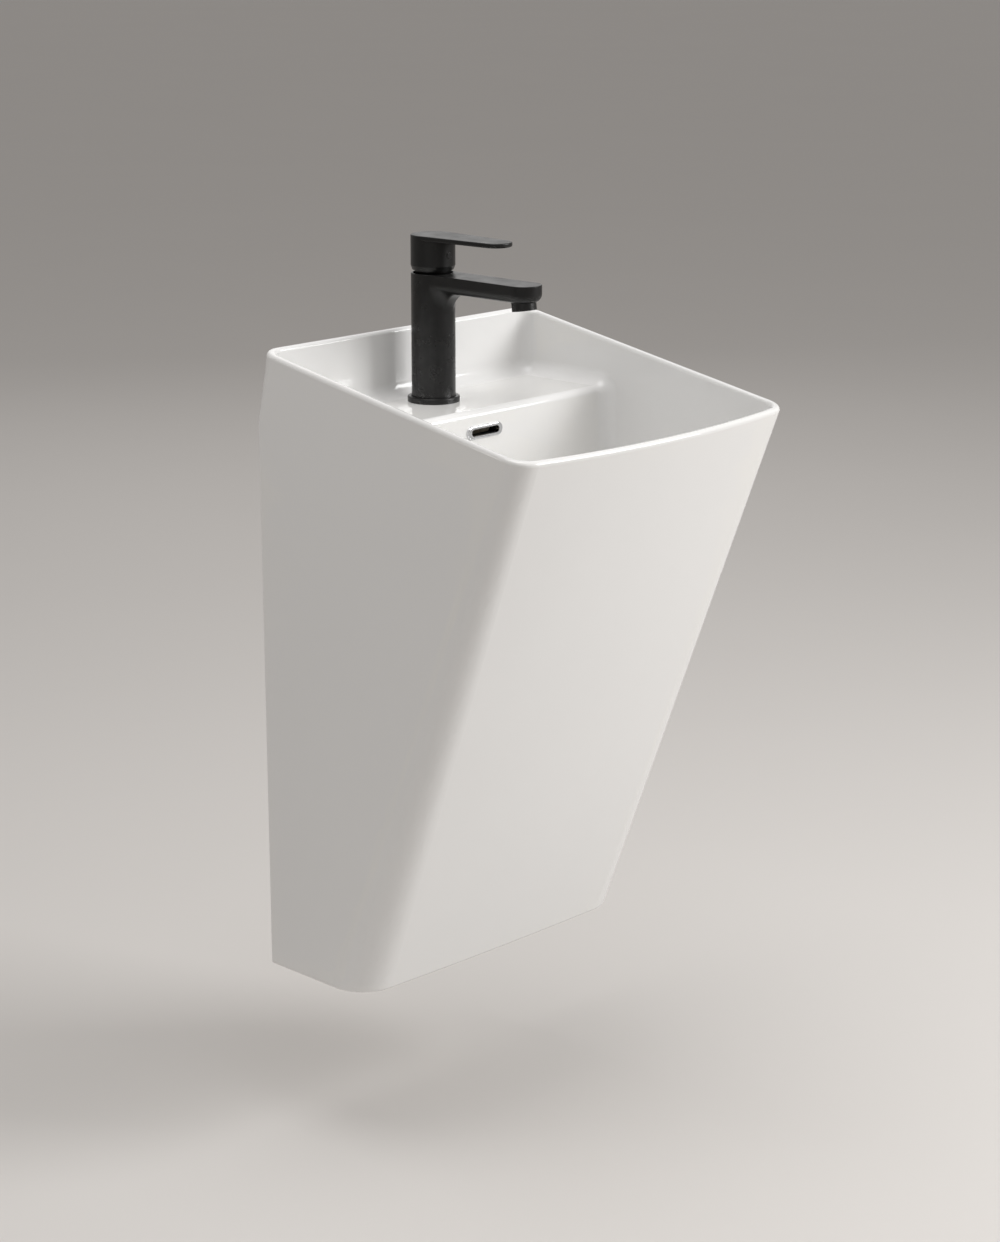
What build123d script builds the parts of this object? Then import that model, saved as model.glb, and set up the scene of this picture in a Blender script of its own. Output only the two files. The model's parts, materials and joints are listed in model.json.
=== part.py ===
from build123d import *
import os
from math import atan2, cos, degrees, sin, sqrt, tan

# Wall-hung one-piece washbasin with a monobloc mixer tap, click waste, bottle trap
# and angle valves. Millimetres. X runs along the wall, the wall is the plane y = 0,
# the basin stands out towards -Y and Z is up. The origin is on the wall, midway
# between the two fixing holes.

# Basin, outside
basin_width = 414            # at the front
basin_height = 673
rim_height = 140            # back of the rim above the fixing holes
rim_depth = 371             # wall to the front corners of the rim
rim_drop = 68               # the front corners are this much lower than the back
rim_bow = 15                # how far the middle of the front stands out of its corners
front_slope = 0.3771        # how far the front goes back for each millimetre down
bottom_bow = 4
wall_inset = 3              # each side, how much narrower the rim is at the wall
wall_inset_low = 7          # and the bottom
front_corner_radius = 27    # at the rim
foot_corner_radius = 42     # at the bottom
back_corner_radius = 26     # at the rim; it fades out down the corner
back_corner_fade = 75
foot_round = 5
rim_round = 4
# Basin, inside
lip = 9
wall = 12
back_plate = 14
deck_depth = 74             # below the back of the rim
deck_front = 127            # from the wall
bowl_depth = 182            # below the back of the rim, at the waste
bowl_lean = 4               # how far the bowl's back wall leans to the front
bowl_corner_radius = 16
bowl_back_radius = 28
deck_edge_radius = 8
floor_radius = 900          # the gentle fall of the bowl's floor
inner_back_radius = 17
flange_width = 30           # the basin's back edges below the plate
window_drop = 210           # below the back of the rim, where the back opens
# Wall fixings
fixing_spacing = 280
fixing_hole_radius = 8
bolt_hole_radius = 5.3
bush_flange_radius = 14
bush_flange = 3
# Overflow
overflow_drop = 23          # below the deck
overflow_width = 53
overflow_height = 14.5
overflow_slot_width = 42
overflow_slot_height = 7.5
overflow_sleeve_wall = 1.6
overflow_flange = 2.4
duct_width = 42
duct_gap = 14
duct_wall = 6
# Waste
drain_distance = 205        # from the wall
drain_boss_radius = 36
drain_boss_drop = 36        # thickness of the basin at the waste
drain_gap = 2.1             # round the waste in its hole
flange_recess_radius = 34.5
flange_recess = 3
waste_flange_radius = 33
waste_flange = 3
waste_radius = 20.9
waste_tube_wall = 3.4
waste_length = 71
seal_thickness = 1
under_seal = 4
backnut_thickness = 8
backnut_width = 12.2        # across the flats, more than the waste
plug_radius = 31
plug_thickness = 5
plug_seal_thickness = 2
plug_stem_radius = 2.5
plug_housing_radius = 6.5
plug_thread_radius = 4
crossbar_height = 6
crossbar_drop = 26
# Trap
tube_radius = 16
tube_wall = 1.6
trap_nut_wall = 5.1
trap_nut_height = 24
trap_radius = 29
trap_wall = 2.5
trap_drop = 50              # trap's shoulder below the end of the waste
trap_length = 84
trap_neck_radius = 20
trap_neck = 14
trap_cup_height = 22
outlet_drop = 14            # outlet's axis below the trap's shoulder
outlet_stub = 26
trap_shoulder_round = 6
trap_foot_round = 4
cup_seal = 2
spigot_step = 0.25           # the outlet pipe is this much thinner inside its nut
spigot_show = 2              # and starts to be so this far outside it
nut_lip = 4
nut_grips = 16
neck_washer = 3
inlet_washer = 2
tail_flange = 3
# Tap, heights above the deck
tap_gap = 1.1               # from the tap's foot ring to the round at the back of the deck
tap_hole_radius = 17.5
tap_radius = 23.5
tap_height = 137.5
base_ring_width = 4.4
base_ring_height = 6
base_ring_round = 1.5
base_seal = 2
spout_reach = 130           # tap's axis to the outlet
spout_width = 38
spout_thickness = 18.5
spout_edge_radius = 9
spout_blend_radius = 24
aerator_radius = 13
aerator_show = 8.5          # how far the aerator stands out of the spout
aerator_seat = 7.5
aerator_tilt = 8
aerator_wall = 2
aerator_seal = 1.5
grid_thickness = 5
grid_inset = 1
grid_hole_radius = 0.9
grid_pitch = 2.8
waterway_radius = 4
cartridge_radius = 17.5
cartridge_bottom = 92
cartridge_top = 122
nut_radius = 18.2
nut_top = 131
pivot_height = 146
collar_radius = 20.8        # the ball round which the handle tilts
collar_top = 150
collar_shell = 2.5
skirt_bore_radius = 21.6
spindle_radius = 9
spindle_foot_radius = 8
pin_radius = 1.5
stem_side = 7
# Handle
hub_radius = 23.7
hub_bore_radius = 21.2
hub_bottom = 141
hub_chamfer = 4.5
hub_chamfer_inset = 1.5
handle_top = 177.8
blade_thickness = 5
blade_top_round = 1.2
blade_under_round = 1.8
blade_reach = 91            # tap's axis to the middle of the tip's arc
blade_tip_radius = 17
roof_height = 170           # inside of the handle's top
boss_radius = 8
boss_bottom = 153
grub_height = 157
grub_radius = 2
index_radius = 3.6
# Tap fixing and supply
inlet_offset = 8.5          # of each inlet from the tap's centre line
inlet_back = 7
tail_radius = 5
tail_bore_radius = 4
tail_entry = 15
stud_radius = 4
stud_front = 10
clamp_radius = 24
clamp_rubber = 3
clamp_plate = 3
stud_nut_height = 8
stud_nut_flats = 13
stud_tail = 6               # below its nut
# Angle valves
valve_spacing = 150
valve_drop = 190            # below the fixing holes
valve_thread_radius = 10.48
valve_thread = 14
valve_radius = 13
valve_length = 36
valve_outlet_distance = 36  # outlet's axis from the wall
valve_outlet_radius = 8
valve_outlet_height = 26
valve_nut_flats = 19
valve_nut_height = 15
olive_height = 4
olive_slope = 1
tail_socket = 8             # how far the tail goes into the valve
nut_cap = 3
knob_radius = 17
knob_length = 18
knob_gap = 1
packing_length = 8
packing_flats = 20
valve_spindle_radius = 4
# Clearances
running = 0.05
apart = 0.3
over_cut = 16               # extra height on a piece that is then cut level

bottom_depth = rim_depth - front_slope * (basin_height - rim_drop)
drain_hole_radius = waste_radius + drain_gap
waste_bore_radius = waste_radius - waste_tube_wall
backnut_flats = 2 * waste_radius + backnut_width
trap_nut_radius = waste_radius + trap_nut_wall
z_rim = rim_height
z_bottom = z_rim - basin_height
z_deck = z_rim - deck_depth
z_floor = z_rim - bowl_depth
z_drain_face = z_floor - drain_boss_drop
z_top = z_rim + 10
z_waste_top = z_floor - flange_recess + seal_thickness + waste_flange
z_crossbar = z_waste_top - crossbar_drop
z_plug = z_waste_top + plug_seal_thickness + apart
z_waste_end = z_waste_top - waste_length
z_shoulder = z_waste_end - trap_drop        # top of the trap's bottle
z_trap = z_shoulder - trap_length
z_outlet = z_shoulder - outlet_drop - trap_neck_radius / 2
z_valve = -valve_drop
y_valve_front = -valve_thread - valve_length
y_drain = -drain_distance
y_stub = y_drain + trap_radius + outlet_stub
base_ring_radius = tap_radius + base_ring_width
y_tap = -(lip + bowl_corner_radius + tap_gap + base_ring_radius)
spigot_radius = tube_radius - spigot_step
y_spigot = y_stub + neck_washer + nut_lip + spigot_show
rim_slope = rim_drop / rim_depth
MID = Align.CENTER
LOW = Align.MIN
HIGH = Align.MAX


# Shapes used all over

def disc(radius, height, x, y, z):
    """A cylinder standing on z."""
    return Pos(x, y, z) * Cylinder(radius, height, align=(MID, MID, LOW))


def ring(outer, inner, height, x, y, z):
    return disc(outer, height, x, y, z) - disc(inner, height, x, y, z)


def rod(radius, length, x, y, z):
    """A cylinder lying along Y, from y towards the front."""
    return Pos(x, y, z) * Rot(90, 0, 0) * Cylinder(radius, length, align=(MID, MID, LOW))


def pipe(outer, inner, length, x, y, z):
    return rod(outer, length, x, y, z) - rod(inner, length, x, y, z)


def hexagon(flats, height, x, y, z):
    outline = RegularPolygon(flats / 2, 6, major_radius=False)
    return Pos(x, y, z) * extrude(outline, height)


def block(width, depth, height, x, y, z):
    """A box centred on x and y, standing on z."""
    return Pos(x, y, z) * Box(width, depth, height, align=(MID, MID, LOW))


# Basin

def front_share(z):
    """0 at the bottom, 1 at the front of the rim."""
    return (z - z_bottom) / (basin_height - rim_drop)


def half_width(z):
    """Half the basin's width at the wall."""
    inset = wall_inset + (wall_inset_low - wall_inset) * (z_rim - z) / basin_height
    return basin_width / 2 - inset


def side_at(z, depth):
    """Half the basin's width at this distance from the wall."""
    return half_width(z) + (basin_width / 2 - half_width(z)) * depth / front_depth(z)


def front_depth(z):
    return bottom_depth + (rim_depth - bottom_depth) * front_share(z)


def front_bow(z):
    return bottom_bow + (rim_bow - bottom_bow) * front_share(z)


def corner_radius(z):
    return foot_corner_radius + (front_corner_radius - foot_corner_radius) * front_share(z)


def plan(z, inset, back, back_radius=0):
    """The basin's horizontal outline at z, moved in by inset, from the back line on."""
    half = basin_width / 2 - inset
    depth = front_depth(z) - inset
    half_back = side_at(z, back) - inset
    left = Line((-half_back, -back), (-half, -depth))
    front = ThreePointArc((-half, -depth), (0, -depth - front_bow(z)), (half, -depth))
    right = Line((half, -depth), (half_back, -back))
    rear = Line((half_back, -back), (-half_back, -back))
    face = make_face(left + front + right + rear)
    corners = face.vertices().sort_by(Axis.Y)
    face = fillet(corners[:2], corner_radius(z) - inset)
    if back_radius:
        face = fillet(face.vertices().sort_by(Axis.Y)[-2:], back_radius)
    return Pos(0, 0, z) * face


def column(inset, back, low, back_radius=0):
    """The solid inside the basin's outline, from low up to above the rim."""
    return loft([plan(low, inset, back, back_radius), plan(z_top, inset, back, back_radius)], ruled=True)


def profile(points):
    """A solid right across the basin with this outline in the YZ plane."""
    outline = Plane.YZ * make_face(Polyline(*points, close=True))
    return extrude(outline, basin_width, both=True)


def above_rim():
    slope = degrees(atan2(rim_drop, rim_depth))
    over = 3 * basin_width
    return Pos(0, 0, z_rim) * Rot(slope, 0, 0) * Box(over, over, basin_height, align=(MID, MID, LOW))


def corner_cut(side):
    """Rounds one back corner at the rim, and fades out below it."""
    def face(z, radius):
        edge = side * side_at(z, radius)
        inner = edge - side * radius
        outer = edge + side
        bend = radius * (1 - sqrt(0.5))
        arc = ThreePointArc((inner, 0), (edge - side * bend, -bend), (edge, -radius))
        sides = Polyline((edge, -radius), (outer, -radius), (outer, 1), (inner, 1), (inner, 0))
        return Pos(0, 0, z) * make_face(arc + sides)
    fade_end = z_rim - back_corner_fade
    growth = back_corner_radius / back_corner_fade
    top_radius = back_corner_radius + growth * (z_top - z_rim)
    return loft([face(fade_end, 0.4), face(z_top, top_radius)], ruled=True)


def basin_outside():
    solid = column(0, -back_plate, z_bottom)
    foot = [e for e in solid.edges() if e.center().Z < z_bottom + 0.1 and e.center().Y < 0]
    solid = fillet(foot, foot_round)
    behind = Box(2 * basin_width, 2 * back_plate, 3 * basin_height, align=(MID, LOW, MID))
    solid -= behind
    solid -= corner_cut(-1)
    solid -= corner_cut(1)
    return solid - above_rim()


def basin_void():
    """Everything that is open from above: the well over the deck, and the bowl."""
    far = -2 * rim_depth
    step = (-deck_front, z_deck)
    foot_y, foot_z = bowl_foot()
    end_z = z_floor + (far - y_drain) ** 2 / (2 * floor_radius)
    fall = ThreePointArc((foot_y, foot_z), (y_drain, z_floor), (far, end_z))
    sides = Polyline((far, end_z), (far, z_top), (0, z_top), (0, z_deck), step, (foot_y, foot_z))
    outline = make_face(fall + sides)
    at_step = outline.vertices().sort_by_distance((*step, 0))[0]
    outline = fillet(at_step, deck_edge_radius)
    at_foot = outline.vertices().sort_by_distance((foot_y, foot_z, 0))[0]
    outline = fillet(at_foot, bowl_back_radius)
    void = extrude(Plane.YZ * outline, basin_width, both=True) & column(lip, lip, z_floor - 1, inner_back_radius)
    half = half_width(z_floor) - lip - bowl_corner_radius - 2

    def crosses(edge):
        spans = edge.bounding_box().size.X > 2 * half
        return spans and -deck_front - 2 * bowl_back_radius < edge.center().Y < -deck_front / 2

    seam = [e for e in void.edges() if e.bounding_box().max.Z < z_top - 1 and not crosses(e)]
    return fillet(seam, bowl_corner_radius)


def basin_underside():
    """The hollow below the deck and the bowl, open at the bottom."""
    deck_back = -deck_front + wall
    floor_under = z_floor - wall
    low = z_bottom - 1
    far = -2 * rim_depth
    points = ((-back_plate, low), (-back_plate, z_deck - wall), (deck_back, z_deck - wall),
              (deck_back - bowl_lean, floor_under), (far, floor_under), (far, low))
    return profile(points) & column(wall, back_plate, low)


def overflow_shell():
    """The channel behind and below the bowl that leads the overflow to the waste."""
    width = duct_width + 2 * duct_wall
    depth = duct_gap + duct_wall
    back = -deck_front + wall
    under = z_floor - wall
    upright = block(width, depth + bowl_lean, z_deck - under, 0, back + (depth - bowl_lean) / 2, under)
    reach = back + depth - y_drain
    lying = block(width, reach, depth, 0, y_drain + reach / 2, under - depth)
    boss = disc(drain_boss_radius, under - z_drain_face + 1, 0, y_drain, z_drain_face)
    return upright + lying + boss


def overflow_hollow():
    back = -deck_front + wall
    under = z_floor - wall
    rise = z_deck - wall - under + duct_gap
    upright = block(duct_width, duct_gap, rise, 0, back + duct_gap / 2, under - duct_gap)
    reach = back + duct_gap - y_drain
    lying = block(duct_width, reach, duct_gap, 0, y_drain + reach / 2, under - duct_gap)
    return upright + lying


def bowl_foot():
    """Where the bowl's leaning back wall meets the floor."""
    y = -deck_front - bowl_lean
    return y, z_floor + (y - y_drain) ** 2 / (2 * floor_radius)


def overflow_outline(width, height, depth, start):
    """A slot with round ends, square to the bowl's back wall; start is counted back from the wall."""
    foot_y, foot_z = bowl_foot()
    lean = atan2(-deck_front - foot_y, z_deck - foot_z)
    to_back = Vector(0, cos(lean), -sin(lean))
    on_wall = Vector(0, -deck_front - overflow_drop * tan(lean), z_deck - overflow_drop)
    plane = Plane(origin=on_wall + to_back * start, x_dir=(1, 0, 0), z_dir=to_back)
    return extrude(plane * RectangleRounded(width, height, height / 2 - 0.01), depth)


def basin_body():
    solid = basin_outside() - basin_void()
    solid -= basin_underside()
    window = 2 * (half_width(z_bottom) - flange_width)
    window_height = basin_height - window_drop + 1
    solid -= block(window, 2 * back_plate + 2, window_height, 0, 0, z_bottom - 1)
    solid += overflow_shell()
    solid -= overflow_hollow()
    sleeve_width = overflow_slot_width + 2 * overflow_sleeve_wall
    sleeve_height = overflow_slot_height + 2 * overflow_sleeve_wall
    solid -= overflow_outline(sleeve_width, sleeve_height, 2 * wall + bowl_lean, -wall)
    solid -= disc(drain_hole_radius, 2 * drain_boss_drop, 0, y_drain, z_drain_face - 1)
    solid -= disc(flange_recess_radius, bowl_depth, 0, y_drain, z_floor - flange_recess)
    solid -= disc(tap_hole_radius, 2 * wall, 0, y_tap, z_deck - wall - 1)
    for side in (-1, 1):
        solid -= rod(fixing_hole_radius, back_plate + 2, side * fixing_spacing / 2, 1, 0)
    return fillet(rim_edges(solid), rim_round)


def rim_edges(solid):
    def on_rim(point):
        return abs(point.Z - z_rim - rim_slope * point.Y) < 0.01
    return [e for e in solid.edges() if all(on_rim(e @ t) for t in (0, 0.3, 0.5, 0.8, 1))]


def overflow_ring():
    """A flat rounded flange on the bowl's wall, with a sleeve into the channel."""
    flange = overflow_outline(overflow_width, overflow_height, overflow_flange, -overflow_flange)
    front = flange.faces().sort_by(Axis.Y)[0]
    flange = fillet(front.edges(), overflow_flange * 0.6)
    sleeve_width = overflow_slot_width + 2 * overflow_sleeve_wall
    sleeve_height = overflow_slot_height + 2 * overflow_sleeve_wall
    sleeve = overflow_outline(sleeve_width, sleeve_height, wall, 0)
    opening = overflow_outline(overflow_slot_width, overflow_slot_height, 4 * wall, -wall)
    return flange + sleeve - opening


def wall_fixing_bushes():
    """Flanged plastic bushes that centre the wall bolts in the basin's holes."""
    bushes = []
    for side in (-1, 1):
        x = side * fixing_spacing / 2
        body = rod(fixing_hole_radius, back_plate, x, 0, 0)
        body += rod(bush_flange_radius, bush_flange, x, -back_plate, 0)
        bushes.append(body - rod(bolt_hole_radius, 2 * back_plate, x, 1, 0))
    return Compound(children=bushes)


# Waste and plug

def waste_body():
    """The flanged waste with a slotted tail and a crossbar for the plug's housing."""
    top = z_waste_top
    solid = disc(waste_flange_radius, waste_flange, 0, y_drain, top - waste_flange)
    solid += disc(waste_radius, waste_length - waste_flange, 0, y_drain, top - waste_length)
    solid -= disc(waste_bore_radius, 2 * waste_length, 0, y_drain, top - 1.5 * waste_length)
    slot_bottom = z_floor - wall - duct_gap
    solid -= block(duct_gap, 3 * waste_radius, duct_gap - 2, 0, y_drain, slot_bottom + 1)
    bar = block(2 * waste_bore_radius + 1, crossbar_height, crossbar_height, 0, y_drain, top - crossbar_drop)
    hub = disc(plug_housing_radius, crossbar_height, 0, y_drain, top - crossbar_drop)
    solid += bar + hub
    solid -= disc(plug_thread_radius, 2 * crossbar_height, 0, y_drain, top - crossbar_drop - 1)
    rim = [e for e in solid.edges() if e.center().Z > top - 0.01 and e.length > 6 * waste_flange_radius]
    return fillet(rim, 1.2)


def waste_flange_seal():
    top = z_floor - flange_recess
    return ring(waste_flange_radius, drain_hole_radius, seal_thickness, 0, y_drain, top)


def waste_under_seal():
    return ring(drain_boss_radius - 4, waste_radius, under_seal, 0, y_drain, z_drain_face - under_seal)


def waste_backnut():
    base = z_drain_face - under_seal - backnut_thickness
    return hexagon(backnut_flats, backnut_thickness, 0, y_drain, base) - \
        disc(waste_radius, 2 * backnut_thickness, 0, y_drain, base - 1)


def plug_housing():
    """The click mechanism's case, screwed into the waste's crossbar."""
    bar_top = z_crossbar + crossbar_height
    case = disc(plug_housing_radius, z_plug - bar_top - 2, 0, y_drain, bar_top)
    shank = disc(plug_thread_radius, crossbar_height, 0, y_drain, z_crossbar)
    return case + shank - disc(plug_stem_radius + running, waste_length, 0, y_drain, z_crossbar - 1)


def plug_stem():
    return disc(plug_stem_radius, z_plug - z_crossbar + plug_thickness / 2, 0, y_drain, z_crossbar)


def plug_cap():
    solid = disc(plug_radius, plug_thickness, 0, y_drain, z_plug)
    solid = fillet(solid.edges().group_by(Axis.Z)[-1], plug_thickness / 2)
    return solid - disc(plug_stem_radius, plug_thickness / 2, 0, y_drain, z_plug)


def plug_seal():
    return ring(plug_radius - 3, waste_bore_radius + 3, plug_seal_thickness, 0, y_drain, z_waste_top + apart)


# Bottle trap and outlet

def trap_inlet_washer():
    base = z_waste_end - inlet_washer
    return ring(waste_radius - 1, tube_radius - tube_wall, inlet_washer, 0, y_drain, base)


def trap_tailpipe():
    """Flanged tube from the waste down into the trap's water."""
    top = z_waste_end - inlet_washer
    end = z_trap + trap_cup_height
    solid = disc(tube_radius, top - end, 0, y_drain, end)
    solid += disc(waste_radius - 1, tail_flange, 0, y_drain, top - tail_flange)
    return solid - disc(tube_radius - tube_wall, 3 * trap_length, 0, y_drain, end - 1)


def union_nut(thread, height):
    """A round nut with grips; its lip is at the bottom and its axis is Z."""
    solid = disc(trap_nut_radius, height, 0, 0, 0)
    solid -= disc(thread, height, 0, 0, nut_lip)
    solid -= disc(tube_radius, 3 * height, 0, 0, -height)
    grips = Sketch() + [loc * Circle(trap_nut_radius / 12) for loc in PolarLocations(trap_nut_radius, nut_grips)]
    return solid - extrude(grips, height)


def trap_inlet_nut():
    base = z_waste_end - inlet_washer - tail_flange - nut_lip
    return Pos(0, y_drain, base) * union_nut(waste_radius, trap_nut_height)


def trap_neck_nut():
    top = z_shoulder + trap_neck + neck_washer + nut_lip
    return Pos(0, y_drain, top) * Rot(180, 0, 0) * union_nut(trap_neck_radius, trap_neck + nut_lip)


def trap_neck_washer():
    return ring(trap_neck_radius - 1, tube_radius, neck_washer, 0, y_drain, z_shoulder + trap_neck)


def trap_body():
    """The bottle, with its neck on top and its outlet stub towards the wall."""
    low = z_trap + trap_cup_height / 2
    solid = disc(trap_radius, z_shoulder - low, 0, y_drain, low)
    solid = fillet(solid.edges().group_by(Axis.Z)[-1], trap_shoulder_round)
    solid += disc(trap_neck_radius, trap_neck + 1, 0, y_drain, z_shoulder - 1)
    solid += rod(trap_neck_radius, trap_radius + outlet_stub, 0, y_stub, z_outlet)
    solid -= disc(trap_radius - trap_wall, z_shoulder - trap_wall - z_trap, 0, y_drain, z_trap)
    solid -= disc(tube_radius + running, trap_length, 0, y_drain, z_shoulder - trap_wall - 1)
    return solid - rod(spigot_radius, outlet_stub + trap_radius / 2, 0, y_stub + 1, z_outlet)


def trap_cup_seal():
    top = z_trap + trap_cup_height / 2
    return ring(trap_radius, trap_radius - trap_wall, cup_seal, 0, y_drain, top - cup_seal)


def trap_cup():
    """The cup that unscrews from the bottle for cleaning."""
    solid = disc(trap_radius + trap_wall, trap_cup_height, 0, y_drain, z_trap)
    solid = fillet(solid.edges().group_by(Axis.Z)[0], trap_foot_round)
    solid -= disc(trap_radius, trap_cup_height, 0, y_drain, z_trap + trap_cup_height / 2 - cup_seal)
    return solid - disc(trap_radius - trap_wall, trap_cup_height, 0, y_drain, z_trap + trap_wall)


def trap_outlet_nut():
    nut = union_nut(trap_neck_radius, trap_neck + nut_lip)
    return Pos(0, y_stub + neck_washer + nut_lip, z_outlet) * Rot(90, 0, 0) * nut


def trap_outlet_washer():
    return pipe(trap_neck_radius - 1, spigot_radius, neck_washer, 0, y_stub + neck_washer, z_outlet)


def outlet_pipe():
    """The tube into the wall; its end inside the nut is turned down a little."""
    solid = pipe(tube_radius, tube_radius - tube_wall, -y_spigot, 0, 0, z_outlet)
    reach = y_spigot - y_stub + outlet_stub / 2
    return solid + pipe(spigot_radius, tube_radius - tube_wall, reach, 0, y_spigot, z_outlet)


# Tap

def on_tap(shape):
    """Moves a shape drawn on the tap's axis, from the deck up, to its place."""
    return Pos(0, y_tap, z_deck) * shape


def ball(radius):
    return Pos(0, 0, pivot_height) * Sphere(radius)


def outlet_frame():
    """The middle of the outlet under the spout, tipped outwards."""
    return Pos(0, -spout_reach, tap_height - spout_thickness) * Rot(-aerator_tilt, 0, 0)


def spout():
    reach = spout_reach
    outline = Rectangle(spout_width, reach, align=(MID, HIGH)) + Pos(0, -reach) * Circle(spout_width / 2)
    solid = Pos(0, 0, tap_height - spout_thickness) * extrude(outline, spout_thickness + over_cut)
    under = [e for e in solid.edges().group_by(Axis.Z)[0] if e.center().Y < -1]
    return fillet(under, spout_edge_radius)


def cartridge_levels():
    """Heights of the cartridge's middle and of its outlet port."""
    middle = (cartridge_bottom + cartridge_top) / 2
    return middle, middle + waterway_radius + 1


def tap_body():
    """One casting: the column, the spout and the ways for the water."""
    solid = disc(tap_radius, tap_height + over_cut - base_seal, 0, 0, base_seal) + spout()
    low = tap_height - spout_thickness - 1

    def joins(edge):
        middle = edge @ 0.5
        at_column = abs(sqrt(middle.X ** 2 + middle.Y ** 2) - tap_radius) < 0.05
        return at_column and low < middle.Z < tap_height + over_cut - 1 and middle.Y < -1

    blend = [e for e in solid.edges() if joins(e)]
    solid = fillet(blend, spout_blend_radius)
    solid -= block(4 * spout_reach, 4 * spout_reach, 2 * over_cut, 0, 0, tap_height)
    top = [e for e in solid.edges() if e.center().Z > tap_height - 0.01]
    solid = fillet(top, 0.8)
    solid -= disc(cartridge_radius, cartridge_top - cartridge_bottom, 0, 0, cartridge_bottom)
    solid -= disc(nut_radius, tap_height, 0, 0, cartridge_top)
    solid -= disc(skirt_bore_radius, tap_height, 0, 0, nut_top)
    middle, port = cartridge_levels()
    solid -= disc(cartridge_radius + 2, 4 * waterway_radius, 0, 0, middle - 2)
    level = tap_height - spout_thickness / 2 - 1
    start = (0, -cartridge_radius, port)
    knee = (0, -cartridge_radius - 4 * waterway_radius, level)
    end = (0, -spout_reach, level)
    for a, b in ((start, knee), (knee, end)):
        path = Line(a, b)
        solid -= sweep(Plane(origin=a, z_dir=path % 0) * Circle(waterway_radius), path)
    solid -= Pos(*knee) * Sphere(waterway_radius)
    socket = Cylinder(aerator_radius, aerator_seat + over_cut, align=(MID, MID, LOW))
    solid -= outlet_frame() * Pos(0, 0, -over_cut) * socket
    for side in (-1, 1):
        solid -= disc(tail_bore_radius, cartridge_bottom, side * inlet_offset, inlet_back, base_seal)
        solid -= disc(tail_radius, tail_entry, side * inlet_offset, inlet_back, 0)
    solid -= disc(stud_radius, tail_entry, 0, -stud_front, 0)
    return on_tap(solid)


def tap_base_ring():
    solid = ring(base_ring_radius, tap_radius, base_ring_height, 0, 0, 0)
    outer = solid.edges().group_by(Axis.Z)[-1].sort_by(SortBy.LENGTH)[-1]
    solid = fillet(outer, base_ring_round)
    inner = solid.edges().group_by(Axis.Z)[-1].sort_by(SortBy.LENGTH)[0]
    return on_tap(chamfer(inner, base_ring_round / 2))


def tap_base_seal():
    return on_tap(ring(tap_radius, tap_hole_radius + 1, base_seal, 0, 0, 0))


def cartridge_body():
    """The ceramic-disc cartridge's case, with its two inlet ports below."""
    height = cartridge_top - cartridge_bottom
    solid = disc(cartridge_radius, height, 0, 0, cartridge_bottom)
    middle, port = cartridge_levels()
    solid -= disc(spindle_foot_radius + running, height, 0, 0, middle)
    for side in (-1, 1):
        solid -= disc(tail_bore_radius, height / 3, side * inlet_offset, inlet_back, cartridge_bottom)
    solid -= rod(waterway_radius, cartridge_radius, 0, -spindle_foot_radius / 2, port)
    return on_tap(solid)


def cartridge_nut():
    """The ring nut that holds the cartridge down."""
    solid = ring(nut_radius, spindle_radius + 4, nut_top - cartridge_top, 0, 0, cartridge_top)
    slot = block(3, 3 * nut_radius, 3, 0, 0, nut_top - 2)
    return on_tap(solid - slot)


def tap_collar():
    """A ball-shaped shroud over the nut; the handle tilts round it."""
    body = ball(collar_radius) - ball(collar_radius - collar_shell)
    floor = ball(collar_radius) & disc(collar_radius, collar_shell, 0, 0, nut_top)
    body = (body & disc(2 * collar_radius, collar_top - nut_top, 0, 0, nut_top)) + floor
    return on_tap(body - disc(spindle_radius + 2, tap_height, 0, 0, nut_top - 1))


def cartridge_spindle():
    """Turns in the cartridge to set the temperature; its fork carries the lever's pin."""
    middle, port = cartridge_levels()
    foot = disc(spindle_foot_radius, cartridge_top - middle - 1, 0, 0, middle + 1)
    top = pivot_height + pin_radius + 2
    head = disc(spindle_radius, top - cartridge_top - apart, 0, 0, cartridge_top + apart)
    neck = disc(spindle_foot_radius, 1, 0, 0, cartridge_top - 0.5)
    slot = block(stem_side + 2 * apart, 3 * spindle_radius, tap_height, 0, 0, pivot_height - 12)
    solid = foot + neck + head - slot
    pin_hole = Pos(0, 0, pivot_height) * Rot(0, 90, 0) * Cylinder(pin_radius, 4 * spindle_radius)
    return on_tap(solid - pin_hole)


def spindle_pin():
    length = 2 * sqrt(spindle_radius ** 2 - pin_radius ** 2) - 0.4
    return on_tap(Pos(0, 0, pivot_height) * Rot(0, 90, 0) * Cylinder(pin_radius, length))


def lever_stem():
    """The square stem that tilts on the pin and carries the handle."""
    low = pivot_height - 9
    stem = block(stem_side, stem_side, roof_height - 1 - low, 0, 0, low)
    stem = fillet(stem.edges().group_by(Axis.Z)[0], 1)
    pin_hole = Pos(0, 0, pivot_height) * Rot(0, 90, 0) * Cylinder(pin_radius + running, 2 * stem_side)
    return on_tap(stem - pin_hole)


def blade_outline():
    """The handle's plan: the hub's circle run into a narrower round tip."""
    root = hub_radius
    tip = blade_tip_radius
    spread = (root - tip) / blade_reach
    across = sqrt(1 - spread ** 2)
    points = []
    for side, radius, along in ((-1, root, 0), (-1, tip, blade_reach), (1, tip, blade_reach), (1, root, 0)):
        points.append((side * radius * across, -along - radius * spread))
    flank = make_face(Polyline(*points, close=True))
    return flank + Circle(root) + Pos(0, -blade_reach) * Circle(tip)


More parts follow.
